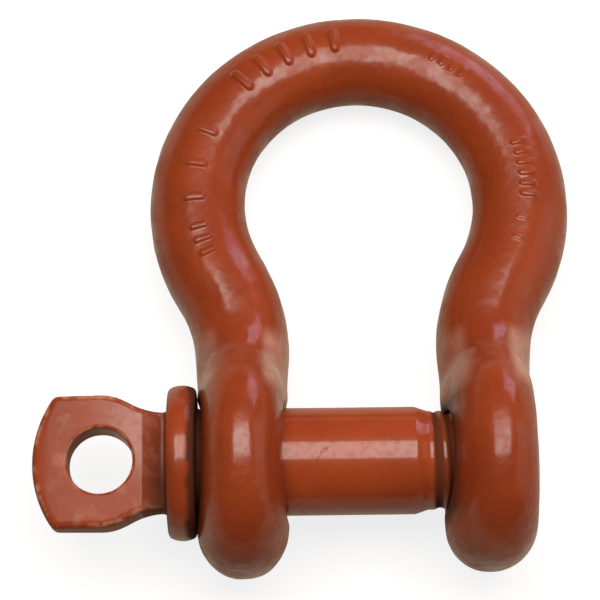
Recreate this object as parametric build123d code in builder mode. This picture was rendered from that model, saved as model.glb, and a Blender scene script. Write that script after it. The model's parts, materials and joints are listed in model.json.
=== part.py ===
from build123d import *
import os
from math import asin, atan2, cos, degrees, isclose, radians, sin, sqrt, tan

# Screw pin bow shackle. The bow is one forging with an ear on each leg, and the screw pin is
# another. It lies as it comes to rest: on both ears and on the crown of the bow, with the
# floor at z = 0, the crown towards +Y and the eye of the pin towards -X.

# Bow, mm
crown_d = 19.2        # bar at the crown
side_d = 20.4         # bar where the bow is widest
neck_d = 19.7         # bar just above the ears
foot_inset = 0.45     # how far the bar sinks into the flanks of the ear
jaw_width = 31.8      # between the ears
bow_width = 49.3      # inside, where the bow is widest
inside_length = 71.6  # from the pin to the inside of the crown
flare_r = 37.0        # centreline of the bend between leg and bow
ear_t = 18.9          # thickness of an ear
ear_r = 24.0          # outside radius of an ear
ear_flat_r = 13.6     # flat face round the hole, before the rim rounds over
root_fillet = 3.0     # blend of each leg into the rim of its ear

# Pin, mm
shank_d = 22.2        # plain part between the ears
thread_d = 20.4       # over the crests of the thread
taper_length = 4.2    # from shank down to thread
taper_to_ear = 2.2    # end of that taper, short of the tapped ear
tip_recess = 0.5      # end of the pin, inside the outer face of the tapped ear
tip_chamfer = 1.6
collar_d = 32.1
collar_t = 5.8
collar_crown = 0.85   # rise of its crowned rim
collar_round = 1.0
waist_w = 20.4        # waist between collar and tab
waist_length = 5.5
waist_slope = 18.0    # fall of each face from the tab to the collar, degrees
brink_w = 21.8        # where each face breaks into that slope
waist_root = 1.5      # how far the waist runs into the collar
waist_root_r = 1.2    # blend of the waist into the collar
tab_length = 28.0     # from collar to the end of the tab
tab_w = 27.6
tab_t = 10.0
tab_end_t = 6.6       # both faces fall in a long curve towards the end
tab_end_r = 23.5      # curve of the end of the tab
tab_corner_r = 1.8
tab_round = 1.5
eye_d = 13.5
eye_to_end = 14.0
eye_round = 0.6
tab_turn = 7.0        # where the thread leaves the tab, degrees off the plane of the bow

# Fits, mm
hole_clearance = 0.9      # radial, shank in the plain ear
thread_clearance = 0.05   # radial, thread in the tapped ear
seat_clearance = 0.05     # collar to ear
mouth_chamfer = 0.8       # at both ends of both holes

# Places worked out from the sizes above. u runs along the pin, v from the pin to the crown.
crown_reach = shank_d / 2 + inside_length + crown_d / 2
crown_r = (bow_width + side_d) / 2
crown_v = crown_reach - crown_r
jaw_u = jaw_width / 2
ear_u = jaw_u + ear_t / 2
ear_out = jaw_u + ear_t
leg_to_flare = ear_u + flare_r
flare_rise = sqrt((crown_r + flare_r) ** 2 - leg_to_flare**2)
flare_v = crown_v - flare_rise
flare = degrees(atan2(flare_rise, leg_to_flare))
rest_tilt = degrees(asin((ear_r - crown_d / 2) / crown_reach))

taper_end_u = jaw_u - taper_to_ear
taper_start_u = taper_end_u - taper_length
tip_u = ear_out - tip_recess
collar_u = -(ear_out + seat_clearance)
collar_back_u = collar_u - collar_t
collar_edge_r = collar_d / 2 - collar_crown
brink_u = collar_back_u - waist_length
waist_end_u = collar_back_u + waist_root
waist_end_t = tab_t - 2 * (waist_end_u - brink_u) * tan(radians(waist_slope))
tab_end_u = collar_back_u - tab_length
eye_u = tab_end_u + eye_to_end
corner_u = tab_end_u + tab_end_r - sqrt(tab_end_r**2 - (tab_w / 2) ** 2)

# The middle of the whole shackle, seen from above, is at x = y = 0.
middle_x = (tab_end_u + crown_r + side_d / 2) / 2
middle_y = (crown_reach * cos(radians(rest_tilt)) + crown_d / 2 - ear_r) / 2


def plane_through_pin(tilt):
    """The plane that holds the pin's axis and dips towards the crown by this many degrees."""
    up = (0, sin(radians(tilt)), cos(radians(tilt)))
    return Plane(origin=(-middle_x, -middle_y, ear_r), x_dir=(1, 0, 0), z_dir=up)


bow_plane = plane_through_pin(rest_tilt)
tab_plane = plane_through_pin(rest_tilt - tab_turn)
tab_side_plane = Plane(origin=tab_plane.origin, x_dir=tab_plane.x_dir, z_dir=-tab_plane.y_dir)
pin_cross_plane = Plane(origin=bow_plane.origin, x_dir=bow_plane.z_dir, z_dir=bow_plane.x_dir)
pin_axis = Axis(bow_plane.origin, bow_plane.x_dir)

with BuildPart() as bow:
    with BuildLine(bow_plane) as spine:
        left_leg = Line((-ear_u, shank_d / 2), (-ear_u, flare_v))
        left_flare = CenterArc((-leg_to_flare, flare_v), flare_r, 0, flare)
        CenterArc((0, crown_v), crown_r, 180 + flare, -180 - 2 * flare)
        CenterArc((leg_to_flare, flare_v), flare_r, 180 - flare, flare)
        Line((ear_u, flare_v), (ear_u, shank_d / 2))
    path = spine.wire()
    neck = left_leg.length / path.length
    side = neck + (left_flare.length + crown_r * radians(flare)) / path.length
    foot_d = ear_t - 2 * foot_inset
    bar = ((0, foot_d), (neck, neck_d), (side, side_d))
    stations = [*bar, (0.5, crown_d), *((1 - place, size) for place, size in reversed(bar))]
    for place, size in stations:
        with BuildSketch(Plane(path @ place, x_dir=bow_plane.z_dir, z_dir=path % place)):
            Circle(size / 2)
    sweep(path=path, multisection=True)

    # Each ear's profile lies beyond the pin, so that the seam of the ear is clear of the leg.
    with BuildSketch(bow_plane):
        with BuildLine():
            Polyline((jaw_u, -ear_flat_r), (jaw_u, 0), (ear_out, 0), (ear_out, -ear_flat_r))
            EllipticalCenterArc(
                (ear_u, -ear_flat_r),
                ear_t / 2,
                ear_r - ear_flat_r,
                start_angle=180,
                arc_size=180,
            )
        make_face()
        mirror(about=Plane.YZ)
    revolve(axis=pin_axis)
    fillet(bow.edges(Select.NEW), root_fillet)

    plain_hole_r = shank_d / 2 + hole_clearance
    tapped_hole_r = thread_d / 2 + thread_clearance
    drill_length = ear_out + ear_t
    for radius, drill in ((plain_hole_r, -drill_length), (tapped_hole_r, drill_length)):
        with BuildSketch(pin_cross_plane):
            Circle(radius)
        extrude(amount=drill, mode=Mode.SUBTRACT)
        chamfer(bow.edges(Select.NEW).filter_by(GeomType.CIRCLE), mouth_chamfer)
bow.part.label = "bow"

with BuildPart() as screw_pin:
    with BuildSketch(tab_plane.offset(-tab_t / 2)):
        with BuildLine():
            ThreePointArc((corner_u, tab_w / 2), (tab_end_u, 0), (corner_u, -tab_w / 2))
            for side in (1, -1):
                Line((corner_u, side * tab_w / 2), (eye_u, side * tab_w / 2))
                Spline(
                    (eye_u, side * tab_w / 2),
                    (brink_u, side * brink_w / 2),
                    (waist_end_u, side * waist_w / 2),
                    tangents=((1, 0), (1, 0)),
                )
            Line((waist_end_u, waist_w / 2), (waist_end_u, -waist_w / 2))
        outline = make_face()
        fillet(outline.vertices().sort_by(Axis.X)[:2], tab_corner_r)
    extrude(amount=tab_t)
    with BuildSketch(tab_side_plane.offset(-tab_w / 2)):
        with BuildLine():
            Line((tab_end_u, -tab_end_t / 2), (tab_end_u, tab_end_t / 2))
            for side in (1, -1):
                brink_corner = (brink_u, side * tab_t / 2)
                TangentArc(brink_corner, (tab_end_u, side * tab_end_t / 2), tangent=(-1, 0))
                Line(brink_corner, (waist_end_u, side * waist_end_t / 2))
            Line((waist_end_u, -waist_end_t / 2), (waist_end_u, waist_end_t / 2))
        make_face()
    extrude(amount=tab_w, mode=Mode.INTERSECT)
    across = Axis(tab_plane.origin, tab_plane.y_dir)
    through = Axis(tab_plane.origin, tab_plane.z_dir)
    rims = screw_pin.edges().filter_by(across, reverse=True).filter_by(through, reverse=True)
    fillet(rims, tab_round)

    with BuildSketch(bow_plane):
        with BuildLine():
            Polyline(
                (taper_start_u, shank_d / 2),
                (collar_u, shank_d / 2),
                (collar_u, collar_edge_r),
            )
            ThreePointArc(
                (collar_u, collar_edge_r),
                (collar_u - collar_t / 2, collar_d / 2),
                (collar_back_u, collar_edge_r),
            )
            Polyline(
                (collar_back_u, collar_edge_r),
                (collar_back_u, 0),
                (tip_u, 0),
                (tip_u, thread_d / 2),
                (taper_end_u, thread_d / 2),
            )
            Spline(
                (taper_start_u, shank_d / 2),
                (taper_end_u, thread_d / 2),
                tangents=((1, 0), (1, 0)),
            )
        make_face()
    revolve(axis=pin_axis)
    fillet(screw_pin.edges(Select.NEW).filter_by(GeomType.CIRCLE, reverse=True), waist_root_r)
    rings = screw_pin.edges().filter_by(GeomType.CIRCLE)
    fillet(rings.filter_by(lambda ring: isclose(ring.radius, collar_edge_r)), collar_round)
    chamfer(screw_pin.edges().filter_by(GeomType.CIRCLE).sort_by(Axis.X)[-1], tip_chamfer)

    with BuildSketch(tab_plane.offset(-tab_t / 2)):
        with Locations((eye_u, 0)):
            Circle(eye_d / 2)
    extrude(amount=tab_t, mode=Mode.SUBTRACT)
    fillet(screw_pin.edges(Select.NEW).filter_by(through, reverse=True), eye_round)
screw_pin.part.label = "screw_pin"

os.makedirs("parts", exist_ok=True)
export_step(bow.part, "parts/bow.step")
export_step(screw_pin.part, "parts/screw_pin.step")
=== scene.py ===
import json
from math import atan2, cos, floor, hypot, pi, radians, sin, sqrt

import bmesh
import bpy
from mathutils import Matrix, Vector, noise


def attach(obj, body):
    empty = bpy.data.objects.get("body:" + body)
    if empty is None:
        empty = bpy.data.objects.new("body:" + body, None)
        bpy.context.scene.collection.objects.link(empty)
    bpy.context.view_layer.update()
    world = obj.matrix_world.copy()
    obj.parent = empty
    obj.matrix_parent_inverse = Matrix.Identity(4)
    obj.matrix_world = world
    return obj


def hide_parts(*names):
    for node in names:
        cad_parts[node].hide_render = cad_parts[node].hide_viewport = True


# A forged bow shackle with a screw pin, painted all over. The shapes are worked out in
# millimetres in the bow's own frame: u along the pin, v from the pin to the crown, n off the bow.

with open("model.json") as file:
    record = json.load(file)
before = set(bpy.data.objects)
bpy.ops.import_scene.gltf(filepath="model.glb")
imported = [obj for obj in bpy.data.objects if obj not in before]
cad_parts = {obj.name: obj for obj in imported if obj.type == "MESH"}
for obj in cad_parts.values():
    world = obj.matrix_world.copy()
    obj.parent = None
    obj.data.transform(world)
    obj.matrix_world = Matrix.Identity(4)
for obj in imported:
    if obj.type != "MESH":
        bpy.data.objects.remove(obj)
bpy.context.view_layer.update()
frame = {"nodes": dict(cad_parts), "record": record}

MM = 0.001
mounts = {mount["name"]: mount for mount in frame["record"]["mounts"]}
along_pin = Vector(mounts["pin"]["axis"])
to_crown = -Vector(mounts["bow_crown"]["axis"])
bow_axes = Matrix((along_pin, to_crown, along_pin.cross(to_crown))).transposed().to_4x4()
BOW = Matrix.Translation(mounts["pin"]["pos_m"]) @ bow_axes @ Matrix.Scale(MM, 4)

# Sizes, mm
crown_v = 57.45          # middle of the crown's curve
crown_r = 34.85          # centreline of that curve
jaw_u = 15.9
ear_t = 18.9
ear_u = jaw_u + ear_t / 2
ear_out = jaw_u + ear_t
plain_hole_r = 12.0
tapped_hole_r = 10.25
mouth_round = 1.1
draft = 0.0101           # thinning of an ear for each millimetre off the parting line
lean = 0.05              # of the tapped ear
ear_r = 24.0
ear_flat_r = 13.6        # flat face round the hole, before the rim rounds over
ear_fullness = 2.2       # 2 would make the section of that rim an ellipse
neck_r = 9.9             # of the leg just above its ear
neck_rise = 1.3          # how much deeper a leg is where it meets its ear
root_r = 3.0             # blend of the leg into the ear as drawn
saddle_r = 15.0          # and as forged
saddle_v = 21.5          # place of that blend
saddle_n = 13.0
shank_r = 11.1
thread_r = 10.2          # over the crests
taper_start_u = 10.0     # from shank down to thread
taper_end_u = 12.8
tip_u = 34.3
tip_chamfer = 1.6
pitch = 2.85
thread_depth = 1.55
run_out_depth = 0.42     # depth of the first groove, where the thread runs out
run_out_u = 13.1
thread_start_u = 15.3    # where the thread begins to sink to its whole depth
thread_full_u = 19.0
crest_u = 12.85          # a crest, on the side of the thread that faces up
crest_turn = radians(78)  # that side, from v towards n
collar_u = -34.85        # face of the collar on the ear
collar_back_u = -40.65
scratch = ((-10.3, -2.8), (-7.2, 1.1))   # its ends on the shank


def add_piece(name, shape):
    """A new smooth-shaded piece at the origin, from a bmesh in metres."""
    mesh = bpy.data.meshes.new(name)
    shape.to_mesh(mesh)
    shape.free()
    mesh.shade_smooth()
    piece = bpy.data.objects.new(name, mesh)
    bpy.context.scene.collection.objects.link(piece)
    return piece


def finish_modifiers(piece):
    """Puts the piece's modifiers into its mesh."""
    shaped = piece.evaluated_get(bpy.context.evaluated_depsgraph_get())
    mesh = bpy.data.meshes.new_from_object(shaped)
    piece.modifiers.clear()
    piece.data = mesh


def remove_piece(piece):
    bpy.data.objects.remove(piece)


def node_copy(node):
    """The CAD node's own shape, with its loose triangles merged."""
    shape = bmesh.new()
    shape.from_mesh(frame["nodes"][node].data)
    bmesh.ops.remove_doubles(shape, verts=shape.verts, dist=0.002 * MM)
    return shape


def forge(piece, grain, rounds):
    """Gives a piece even faces of this size, and eases it as often as rounds says."""
    even = piece.modifiers.new("even", "REMESH")
    even.mode = "VOXEL"
    even.voxel_size = grain * MM
    even.use_smooth_shade = True
    ease = piece.modifiers.new("ease", "SMOOTH")
    ease.factor = 0.5
    ease.iterations = rounds
    finish_modifiers(piece)


def combine(piece, other, operation):
    """Cuts the other piece from this one, or joins the two, and removes the other."""
    step = piece.modifiers.new("combine", "BOOLEAN")
    step.operation = operation
    step.solver = "EXACT"
    step.object = other
    finish_modifiers(piece)
    remove_piece(other)


def move_verts(piece, moved):
    """Moves each vertex of a piece to where moved puts it, in the bow's frame."""
    shape = bmesh.new()
    shape.from_mesh(piece.data)
    shape.transform(BOW.inverted())
    for vert in shape.verts:
        vert.co = moved(*vert.co)
    shape.transform(BOW)
    shape.to_mesh(piece.data)
    shape.free()


def smooth_step(x):
    x = min(max(x, 0.0), 1.0)
    return x * x * (3 - 2 * x)


def turned(profile, steps=192):
    """A solid of revolution about the pin's axis. The profile is (u, radius) points in
    millimetres, and starts and ends on the axis."""
    shape = bmesh.new()
    corners = [shape.verts.new((u, r, 0)) for u, r in profile]
    edges = [shape.edges.new(pair) for pair in zip(corners, corners[1:])]
    bmesh.ops.spin(
        shape,
        geom=corners + edges,
        cent=(0, 0, 0),
        axis=(1, 0, 0),
        angle=2 * pi,
        steps=steps,
        use_merge=True,
    )
    bmesh.ops.remove_doubles(shape, verts=shape.verts, dist=0.001)
    bmesh.ops.recalc_face_normals(shape, faces=shape.faces)
    return shape


def thread_phase(u, v, n):
    """Place in the thread as a share of its pitch. 0 is a crest."""
    phase = (u - crest_u) / pitch - (atan2(n, v) - crest_turn) / (2 * pi)
    return phase - floor(phase)


def groove(phase):
    """Depth of the thread's rounded V, as a share of its whole depth."""
    return smooth_step((0.5 - abs(phase - 0.5)) / 0.5 * 1.25 - 0.12)


def screw_wall(start_u, end_u, radius_at, steps=144, rows=14):
    """A closed rod whose wall follows the thread. radius_at(u, phase) gives its radius at a
    place along the pin and a share of the pitch, and phase 0 is a crest."""
    shape = bmesh.new()
    rise = pitch / rows
    count = int((end_u - start_u) / rise) + 2 * rows
    line = [shape.verts.new((start_u - pitch + row * rise, 1, 0)) for row in range(count)]
    edges = [shape.edges.new(pair) for pair in zip(line, line[1:])]
    bmesh.ops.spin(
        shape,
        geom=line + edges,
        cent=(0, 0, 0),
        axis=(1, 0, 0),
        dvec=(pitch / steps, 0, 0),
        angle=2 * pi,
        steps=steps,
        use_merge=False,
    )
    bmesh.ops.remove_doubles(shape, verts=shape.verts, dist=0.0005)
    for vert in shape.verts:
        u, v, n = vert.co
        radius = radius_at(u, thread_phase(u, v, n))
        vert.co = (u, v * radius, n * radius)
    for cut_u, side in ((start_u, -1), (end_u, 1)):
        cut = bmesh.ops.bisect_plane(
            shape,
            geom=shape.verts[:] + shape.edges[:] + shape.faces[:],
            plane_co=(cut_u, 0, 0),
            plane_no=(side, 0, 0),
            clear_outer=True,
        )
        rim = [part for part in cut["geom_cut"] if isinstance(part, bmesh.types.BMEdge)]
        bmesh.ops.edgeloop_fill(shape, edges=rim)
    bmesh.ops.recalc_face_normals(shape, faces=shape.faces)
    return shape


bow = add_piece("forged_bow", node_copy("bow"))
forge(bow, grain=0.64, rounds=4)


def saddle_height(v, blend_r):
    """Height of a leg's top line over the bow's plane where it runs into its ear by a blend of
    this radius."""
    blend_v = sqrt((ear_r + blend_r) ** 2 - (neck_r + blend_r) ** 2)
    if v > blend_v:
        return neck_r
    if v > blend_v * ear_r / (ear_r + blend_r):
        return neck_r + blend_r - sqrt(blend_r**2 - (v - blend_v) ** 2)
    return sqrt(ear_r**2 - v**2)


def swollen_neck(u, v, n):
    """Each leg grows deeper towards its ear and runs into it in a long hollow."""
    if v < 10 or v > 60:
        return u, v, n
    swell = neck_rise * (1 - smooth_step((v - 20) / 32)) * smooth_step((v - 16) / 6)
    grown = saddle_height(v, saddle_r) / saddle_height(v, root_r) + swell / neck_r
    return u, v, n * grown


def ease_saddles(piece):
    """Eases the hollows where the legs run into the rims of the ears."""
    saddles = piece.vertex_groups.new(name="saddles")
    to_bow = BOW.inverted()
    for vert in piece.data.vertices:
        u, v, n = to_bow @ vert.co
        share = smooth_step(1.0 - (hypot(v - saddle_v, abs(n) - saddle_n) - 3) / 5)
        if share > 0:
            saddles.add([vert.index], share, "REPLACE")
    ease = piece.modifiers.new("ease", "SMOOTH")
    ease.factor = 0.5
    ease.iterations = 37
    ease.vertex_group = saddles.name
    finish_modifiers(piece)
    piece.vertex_groups.clear()


# Rows of plain raised bars on the crown: first and last angle round the crown's curve, how many,
# how far outside the centreline, length, width and height.
bar_rows = (
    (134.0, 98.0, 5, 1.1, 4.2, 1.3, 0.62),
    (62.0, 50.0, 4, 0.6, 1.6, 0.9, 0.28),
    (17.0, -3.0, 6, 1.0, 2.6, 0.9, 0.38),
    (-12.0, -20.0, 2, 0.0, 1.2, 0.9, 0.25),
    (157.0, 183.0, 3, 0.4, 3.0, 1.1, 0.50),
    (194.0, 204.0, 3, 0.4, 2.6, 0.9, 0.48),
)


def bars():
    for first, last, count, offset, length, width, height in bar_rows:
        for number in range(count):
            angle = radians(first + (last - first) * number / (count - 1))
            middle = crown_r + offset
            yield angle, middle, length, width, height


def bar_distance(spot, angle, middle, length):
    """How far a spot, seen from above, is from the middle line of a raised bar."""
    turn = atan2(spot.y - crown_v, spot.x) - angle
    turn -= 2 * pi * floor(turn / (2 * pi) + 0.5)
    across = turn * middle
    along = hypot(spot.x, spot.y - crown_v) - middle
    return hypot(max(abs(along) - length / 2, 0), across)


def raise_bars(piece):
    shape = bmesh.new()
    shape.from_mesh(piece.data)
    shape.transform(BOW.inverted())
    for _ in range(2):
        near = [
            face
            for face in shape.faces
            for centre in (face.calc_center_median(),)
            if centre.z > 3
            and any(bar_distance(centre, a, m, long) < w + 0.3 for a, m, long, w, h in bars())
        ]
        edges = list(dict.fromkeys(edge for face in near for edge in face.edges))
        bmesh.ops.subdivide_edges(shape, edges=edges, cuts=1, use_grid_fill=True)
    shape.normal_update()
    lifts = {}
    for vert in shape.verts:
        if vert.co.z < 3:
            continue
        for angle, middle, length, width, height in bars():
            away = bar_distance(vert.co, angle, middle, length)
            if away < width:
                lift = height * smooth_step(1.35 - 1.35 * away / width)
                lifts[vert] = max(lift, lifts.get(vert, 0))
    for vert, lift in lifts.items():
        vert.co += vert.normal * lift
    shape.transform(BOW)
    shape.to_mesh(piece.data)
    shape.free()
    piece.data.shade_smooth()


move_verts(bow, swollen_neck)
ease_saddles(bow)
raise_bars(bow)


def mouth(face_u, side, radius):
    """The rounded mouth of a hole, out to beyond the face of the ear."""
    points = []
    for step in range(7):
        turn = radians(90 * step / 6)
        depth = mouth_round * (1 - sin(turn))
        points.append((face_u - side * depth, radius + mouth_round * (1 - cos(turn))))
    points.append((face_u + side * 2, radius + mouth_round))
    return points


plain_hole = turned(
    [(-ear_out - 2, 0)]
    + mouth(-ear_out, -1, plain_hole_r)[::-1]
    + mouth(-jaw_u, 1, plain_hole_r)
    + [(-jaw_u + 2, 0)]
)
plain_hole.transform(BOW)
combine(bow, add_piece("plain_hole", plain_hole), "DIFFERENCE")


def tapped_radius(u, phase):
    inside = min(u - jaw_u, ear_out - u)
    if inside < 0:
        return tapped_hole_r + mouth_round
    rounded = mouth_round - (mouth_round**2 - max(mouth_round - inside, 0) ** 2) ** 0.5
    cut = 1.25 * (1 - groove(phase)) * smooth_step(inside / 1.2)
    return tapped_hole_r + max(rounded, cut)


tapped_hole = screw_wall(jaw_u - 1.5, ear_out + 1.5, tapped_radius, steps=96, rows=10)
tapped_hole.transform(BOW)
combine(bow, add_piece("tapped_hole", tapped_hole), "DIFFERENCE")


def drawn_ear(u, v, n):
    """Each ear has a full rim, and thins away from the parting line of its forging. The tapped
    ear leans a little outward above that line, and is a little shorter."""
    share = 1 - smooth_step((v - 12) / 23)
    middle = ear_u if u > 0 else -ear_u
    off = min(abs(u - middle) / (ear_t / 2), 0.97)
    full = (1 - off**ear_fullness) ** (1 / ear_fullness) / sqrt(1 - off**2) - 1
    reach = hypot(v, n)
    if reach > ear_flat_r:
        grown = 1 + (reach - ear_flat_r) * full * share / reach
        v, n = v * grown, n * grown
    if u > 0:
        v *= 1 - 0.04 * smooth_step((-v - 13) / 8)
    leaned = lean * n * share if u > 0 and n > 0 else 0
    return u - draft * abs(n) * (u - middle) * share + leaned, v, n


move_verts(bow, drawn_ear)


def roughen(piece, lumps):
    """Gives a forging its uneven skin: lumps of these sizes and heights, in millimetres."""
    shape = bmesh.new()
    shape.from_mesh(piece.data)
    shape.normal_update()
    lifts = []
    for vert in shape.verts:
        spot = vert.co / MM
        lift = sum(height * noise.noise(spot / size) for size, height in lumps)
        lifts.append(vert.normal * (lift * MM))
    for vert, lift in zip(shape.verts, lifts):
        vert.co += lift
    shape.to_mesh(piece.data)
    shape.free()


roughen(bow, ((5.5, 0.07), (2.0, 0.035)))


def rod_radius(u, phase):
    """Radius of the shank, of its taper and of the thread."""
    fall = min(max((u - taper_start_u) / (taper_end_u - taper_start_u), 0), 1)
    radius = shank_r + (thread_r - shank_r) * (0.7 * fall + 0.3 * smooth_step(fall))
    full = smooth_step((u - thread_start_u) / (thread_full_u - thread_start_u))
    faint = run_out_depth * smooth_step((u - run_out_u) / 1.2) * (1 - full)
    radius -= (faint + thread_depth * full) * groove(phase)
    return min(radius, thread_r - tip_chamfer + (tip_u - u)) if u > tip_u - 4 else radius


head = node_copy("screw_pin")
head.transform(BOW.inverted())
cut = bmesh.ops.bisect_plane(
    head,
    geom=head.verts[:] + head.edges[:] + head.faces[:],
    plane_co=(collar_u + 0.8, 0, 0),
    plane_no=(1, 0, 0),
    clear_outer=True,
)
bmesh.ops.edgeloop_fill(
    head, edges=[part for part in cut["geom_cut"] if isinstance(part, bmesh.types.BMEdge)]
)
head.transform(BOW)
pin = add_piece("screw_pin_forging", head)
forge(pin, grain=0.32, rounds=5)

rod = screw_wall(collar_u - 3, tip_u, rod_radius)
rod.transform(BOW)
combine(pin, add_piece("rod", rod), "UNION")


def mark_spots(piece):
    """Stores how much each spot of the pin lies on a rounded edge of the tab, where paint rubs
    off, and how deep it lies in a groove of the thread, where the paint is darker and duller."""
    across_tab = Vector(mounts["pin_eye"]["axis"])
    edges = piece.data.attributes.new("edges", "FLOAT", "POINT")
    grooves = piece.data.attributes.new("grooves", "FLOAT", "POINT")
    to_bow = BOW.inverted()
    for vert, edge, deep in zip(piece.data.vertices, edges.data, grooves.data):
        u, v, n = to_bow @ vert.co
        if u < collar_back_u - 1:
            flat = abs(vert.normal.dot(across_tab))
            edge.value = smooth_step((flat - 0.25) / 0.3) * smooth_step((0.985 - flat) / 0.1)
        if u > run_out_u:
            deep.value = smooth_step(u - run_out_u) * groove(thread_phase(u, v, n))


mark_spots(pin)


class Value:
    """A number that varies over a surface. Arithmetic on it adds Math nodes."""

    def __init__(self, finish, socket):
        self.finish = finish
        self.socket = socket

    def math(self, operation, first, second):
        return self.finish.node("ShaderNodeMath", {"operation": operation}, {0: first, 1: second})

    def __add__(self, other):
        return self.math("ADD", self, other)

    def __sub__(self, other):
        return self.math("SUBTRACT", self, other)

    def __rsub__(self, other):
        return self.math("SUBTRACT", other, self)

    def __neg__(self):
        return self * -1.0

    def __mul__(self, other):
        return self.math("MULTIPLY", self, other)

    __radd__ = __add__
    __rmul__ = __mul__


class Finish:
    """A material on a Principled shader."""

    def __init__(self, name, constants):
        self.material = bpy.data.materials.new(name)
        self.material.use_nodes = True
        self.tree = self.material.node_tree
        self.shader = self.tree.nodes["Principled BSDF"]
        for socket, value in constants.items():
            self.shader.inputs[socket].default_value = value

    def node(self, kind, settings, sockets, output=0):
        """Adds a node with its settings, then its sockets' values or links."""
        added = self.tree.nodes.new(kind)
        for setting, value in settings.items():
            setattr(added, setting, value)
        for socket, value in sockets.items():
            self.feed(added.inputs[socket], value)
        return Value(self, added.outputs[output])

    def feed(self, socket, value):
        if isinstance(value, Value):
            self.tree.links.new(value.socket, socket)
        else:
            socket.default_value = value

    def noise(self, size, detail=2.0, roughness=0.5):
        """Noise whose lumps are about this many millimetres across."""
        place = self.node("ShaderNodeTexCoord", {}, {}, "Object")
        return self.node(
            "ShaderNodeTexNoise",
            {},
            {"Vector": place, "Scale": 1 / (size * MM), "Detail": detail, "Roughness": roughness},
        )

    def along(self, axis):
        """How far each spot lies from the middle of the pin along an axis, in millimetres."""
        place = self.node("ShaderNodeTexCoord", {}, {}, "Object")
        pin_middle = mounts["pin"]["pos_m"]
        apart = self.node(
            "ShaderNodeVectorMath", {"operation": "SUBTRACT"}, {0: place, 1: pin_middle}
        )
        far = self.node(
            "ShaderNodeVectorMath", {"operation": "DOT_PRODUCT"}, {0: apart, 1: axis}, "Value"
        )
        return far * (1 / MM)

    def band(self, value, low, high, soft):
        """1 between low and high, and 0 beyond a soft edge outside them."""
        return self.ramp(value, low - soft, low) * self.ramp(-value, -high - soft, -high)

    def marked(self, name):
        """What the mesh stores under this name."""
        return self.node("ShaderNodeAttribute", {"attribute_name": name}, {}, "Fac")

    def ramp(self, value, low, high):
        """0 where the value is below low, 1 where it is above high."""
        return self.node(
            "ShaderNodeMapRange",
            {"interpolation_type": "SMOOTHSTEP"},
            {"Value": value, "From Min": low, "From Max": high},
        )

    def mix(self, share, first, second):
        return self.node(
            "ShaderNodeMix", {"data_type": "RGBA"}, {0: share, 6: first, 7: second}, 2
        )

    def set(self, socket, value):
        self.feed(self.shader.inputs[socket], value)


paint_colors = ((0.308, 0.0445, 0.0103), (0.376, 0.059, 0.0135))


def paint(name, tone, lumps, peel, coat, patches):
    """Glossy orange-red paint. tone is its lightness, lumps and peel are the heights of its large
    and small unevenness in tenths of a millimetre, and patches is how much its gloss varies."""
    finish = Finish(
        name,
        {"Coat Roughness": 0.12, "Coat IOR": 1.5, "Specular IOR Level": 0.15},
    )
    blotches = finish.noise(14, 3)
    flecks = finish.noise(1.3, 3)
    shade = finish.ramp(blotches + 0.25 * flecks, 0.4, 0.85)
    deep, light = ([tone * part for part in color] + [1] for color in paint_colors)
    color = finish.mix(shade, deep, light)
    relief = lumps * finish.noise(6, 2) + peel * flecks
    bump = finish.node(
        "ShaderNodeBump", {}, {"Strength": 1.0, "Distance": 0.1 * MM, "Height": relief}
    )
    finish.set("Normal", bump)
    gloss = (1 - 0.4 * finish.ramp(flecks, 0.4, 0.7)) * (
        1 - patches * finish.ramp(finish.noise(7, 2), 0.4, 0.6)
    )
    return finish, color, 0.30 + 0.14 * blotches, coat * gloss


def bow_paint():
    """The paint of the bow, with painted shade and some dirt where the thread goes into the
    tapped ear, and painted light that makes the sides of the legs above the ears paler."""
    finish, color, roughness, coat = paint("paint_on_forged_bow", 0.86, 1.2, 1.5, 0.9, 0.55)
    finish.set("Coat Roughness", 0.17)
    u = finish.along(along_pin)
    v = finish.along(to_crown)
    # Painted shade, with some dirt, on the inner face and round the mouth of the tapped ear.
    painted_shade_and_grime = 0.85 * finish.band(u, 15.5, 16.3, 3.0) * finish.band(v, -12, 9.5, 4.0)
    # Painted light: paler paint on the sides of the legs above the ears, most on the sides that
    # face right.
    right_sides = finish.band(u, -19.4, -15.0, 2.4) + finish.band(u, 31.0, 36.0, 2.4)
    left_sides = finish.band(u, -36.0, -32.0, 2.4) + finish.band(u, 15.0, 19.4, 2.4)
    above_ears = finish.band(v, 14.0, 22.5, 5.0) * (0.6 + 0.8 * (finish.noise(3.0) - 0.5))
    painted_light_on_sides = above_ears * (0.75 * right_sides + 0.35 * left_sides)
    color = finish.mix(painted_light_on_sides, color, (0.76, 0.46, 0.34, 1))
    finish.set("Base Color", finish.mix(painted_shade_and_grime, color, (0.06, 0.035, 0.022, 1)))
    finish.set("Roughness", roughness + 0.3 * painted_shade_and_grime)
    finish.set("Coat Weight", coat * (1 - painted_shade_and_grime))
    return finish.material


def scratch_mark(finish, u, v):
    """The dark line of the scratch on the shank."""
    (first_u, first_v), (last_u, last_v) = scratch
    length = hypot(last_u - first_u, last_v - first_v)
    run_u, run_v = (last_u - first_u) / length, (last_v - first_v) / length
    far_u, far_v = u - first_u, v - first_v
    off = far_u * run_v - far_v * run_u + 1.2 * (finish.noise(2.0) - 0.5)
    upper = finish.ramp(finish.along(along_pin.cross(to_crown)), 0, 1)
    line = 1 - finish.ramp(off * off, 0.0, 0.15)
    broken = finish.ramp(finish.noise(0.9), 0.35, 0.6)
    return upper * line * broken * finish.band(far_u * run_u + far_v * run_v, 0, length, 0.8)


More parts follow.
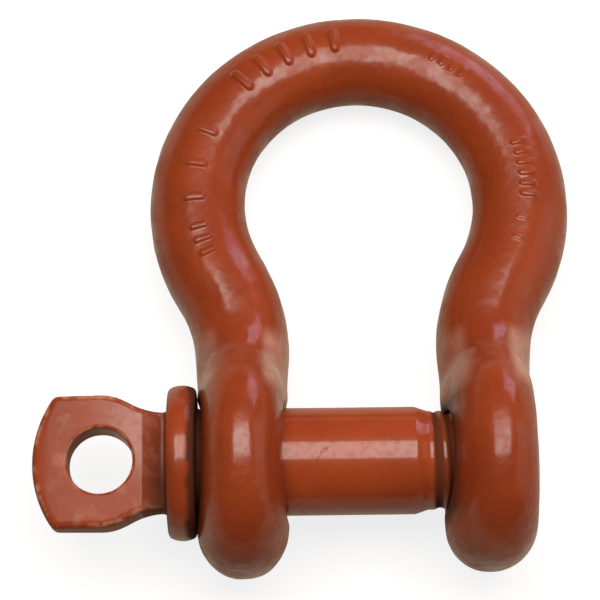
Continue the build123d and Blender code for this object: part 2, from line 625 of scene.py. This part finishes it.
def pin_paint():
    """The paint of the pin, duller towards the end of the tab, rubbed along its edges, darker
    over the thread, with painted shade beside the collar, at its root and where it sits on the
    ear."""
    finish, color, roughness, coat = paint("paint_on_pin", 1.0, 0.35, 0.12, 0.84, 0.1)
    u = finish.along(along_pin)
    v = finish.along(to_crown)
    clouds = finish.noise(5, 4)
    dull = finish.ramp(-u, 45.6, 46.4) * (1 - finish.ramp(u, -60, -44) * finish.ramp(v, -7, 3))
    # Painted shade in the hollow beside the collar, darker towards its lower side.
    waist_shade = finish.band(u, -45.7, -40.6, 0.5) * (0.3 + 0.2 * finish.ramp(-v, -2, 6))
    # Painted shade where the neck meets the collar, darker towards its lower side.
    collar_root_shade = finish.band(u, -41.4, -40.6, 3.5) * (0.05 + 0.25 * finish.ramp(-v, -2, 6))
    # Painted shade where the collar sits against the ear, and on the shank seen through the gap
    # there.
    seat_shade = finish.ramp(u + 2.4 * clouds, -36.1, -34.5) * finish.ramp(-u, 31.5, 32.5)
    grooves = finish.marked("grooves")
    # Darker over the thread, and more so deep in its grooves.
    thread = 0.5 * finish.ramp(u, 13.0, 13.8) + 0.3 * grooves
    line = scratch_mark(finish, u, v)
    rubbed = finish.marked("edges") * finish.ramp(finish.noise(2.6, 5), 0.46, 0.62)
    scuffs = 0.35 * dull * finish.ramp(clouds, 0.52, 0.68)
    color = finish.mix(0.8 * rubbed + scuffs, color, (0.58, 0.25, 0.16, 1))
    # The painted shade and the dirt together take the paint towards a dark brown.
    painted_shade_and_grime = 0.12 * dull + waist_shade + collar_root_shade + 0.88 * seat_shade + thread + 0.35 * line
    finish.set("Base Color", finish.mix(painted_shade_and_grime, color, (0.05, 0.017, 0.008, 1)))
    finish.set("Roughness", roughness + 0.16 * dull + 0.4 * (waist_shade + seat_shade + grooves))
    clean = (1 - 0.75 * dull) * (1 - 2 * waist_shade) * (1 - seat_shade) * (1 - grooves) * (1 - 0.7 * line)
    finish.set("Coat Weight", coat * clean)
    return finish.material


for piece, body, node, slot, material in (
    (bow, "bow", "bow", "bow_paint", bow_paint()),
    (pin, "screw_pin", "screw_pin", "pin_paint", pin_paint()),
):
    piece.data.materials.clear()
    piece.data.materials.append(material)
    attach(piece, body)
    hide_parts(node)

floor_shape = bmesh.new()
bmesh.ops.create_grid(floor_shape, x_segments=1, y_segments=1, size=3.0)
floor_piece = add_piece("floor", floor_shape)
floor_finish = Finish(
    "pale_floor",
    {"Base Color": (0.33, 0.31, 0.29, 1), "Roughness": 0.9, "Emission Strength": 1.0},
)
seen = floor_finish.node("ShaderNodeLightPath", {}, {}, "Is Camera Ray")
mirrored = floor_finish.node("ShaderNodeLightPath", {}, {}, "Is Glossy Ray")
glow = floor_finish.mix(mirrored, (0, 0, 0, 1), (0.28, 0.20, 0.12, 1))
floor_finish.set("Emission Color", floor_finish.mix(seen, glow, (0.80, 0.81, 0.82, 1)))
floor_piece.data.materials.append(floor_finish.material)

world = bpy.data.worlds.new("pale_studio")
bpy.context.scene.world = world
world.use_nodes = True
backdrop = world.node_tree.nodes["Background"]
backdrop.inputs["Color"].default_value = (1.0, 0.88, 0.72, 1)
backdrop.inputs["Strength"].default_value = 0.06

# The camera, as it stood over the shackle: its place and its axes in the bow's frame.
camera_place = Vector((-18.31, -123.35, 414.85))
camera_right = Vector((0.99987, -0.01454, 0.00713))
camera_up = Vector((0.01101, 0.93355, 0.35827))
camera_back = camera_right.cross(camera_up)
focal_px = 2088.4
picture_px = 600

camera_axes = Matrix((camera_right, camera_up, camera_back)).transposed().to_4x4()
unit_bow = Matrix.Translation(mounts["pin"]["pos_m"]) @ bow_axes
camera = bpy.data.objects.new("camera", bpy.data.cameras.new("camera"))
camera.matrix_world = unit_bow @ Matrix.Translation(camera_place * MM) @ camera_axes
camera.data.lens = camera.data.sensor_width * focal_px / picture_px
camera.data.clip_start = 0.01
bpy.context.scene.collection.objects.link(camera)
bpy.context.scene.camera = camera


def panel(name, towards, distance, width, height, power, color):
    """A soft light. towards is its direction from the shackle in the camera's frame."""
    data = bpy.data.lights.new(name, "AREA")
    data.shape = "RECTANGLE"
    data.size = width
    data.size_y = height
    data.energy = power
    data.color = color
    lamp = bpy.data.objects.new(name, data)
    back = (unit_bow @ camera_axes).to_3x3() @ Vector(towards).normalized()
    aim = back.to_track_quat("Z", "Y").to_matrix().to_4x4()
    lamp.matrix_world = Matrix.Translation(back * distance) @ aim
    bpy.context.scene.collection.objects.link(lamp)


softbox_rise = radians(24.2)
softbox_towards = (0.0, sin(softbox_rise), cos(softbox_rise))
panel("softbox", softbox_towards, 0.55, 0.50, 0.355, 3.3, (1, 0.95, 0.88))
panel("window", (0.46, 0.88, 0.02), 1.5, 0.8, 0.7, 4.4, (1.0, 0.74, 1.0))
panel("wall", (0.93, 0.08, 0.36), 0.9, 0.9, 0.7, 1.5, (1, 0.88, 0.76))

bpy.context.scene.view_settings.view_transform = "Standard"
